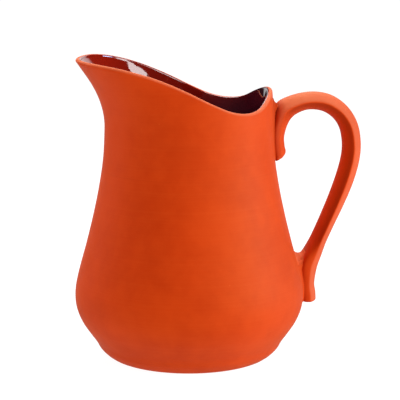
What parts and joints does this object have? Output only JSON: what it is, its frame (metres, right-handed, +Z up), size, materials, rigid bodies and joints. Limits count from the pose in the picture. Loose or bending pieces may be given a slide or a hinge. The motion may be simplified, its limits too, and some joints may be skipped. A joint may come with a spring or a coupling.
{
  "type": "pitcher",
  "caption": "Bulbous terracotta pitcher with a wide pouring lip, a dark glazed inside and a tall looped strap handle, standing on a low foot ring.",
  "frame": {"origin": "on the table, under the middle of the whole pitcher, handle included; the vessel's own axis is 19 mm towards the spout, at x = -0.019 m", "axes": "+Z up, -X towards the pouring lip, +X towards the handle, Y across; the pitcher mirrors about the XZ plane"},
  "size_m": [0.184, 0.146, 0.19],
  "materials": {
    "terracotta": "matte, unglazed, finely sanded",
    "handle_clay": "matte, unglazed, finely sanded",
    "glaze": "glossy, dark oxblood",
    "slip": "matte, sponged smooth"
  },
  "bodies": {
    "root": {"pitcher_body": "terracotta", "glaze_lining": "glaze", "handle": "handle_clay", "upper_luting": "slip", "lower_luting": "slip"}
  },
  "joints": []
}
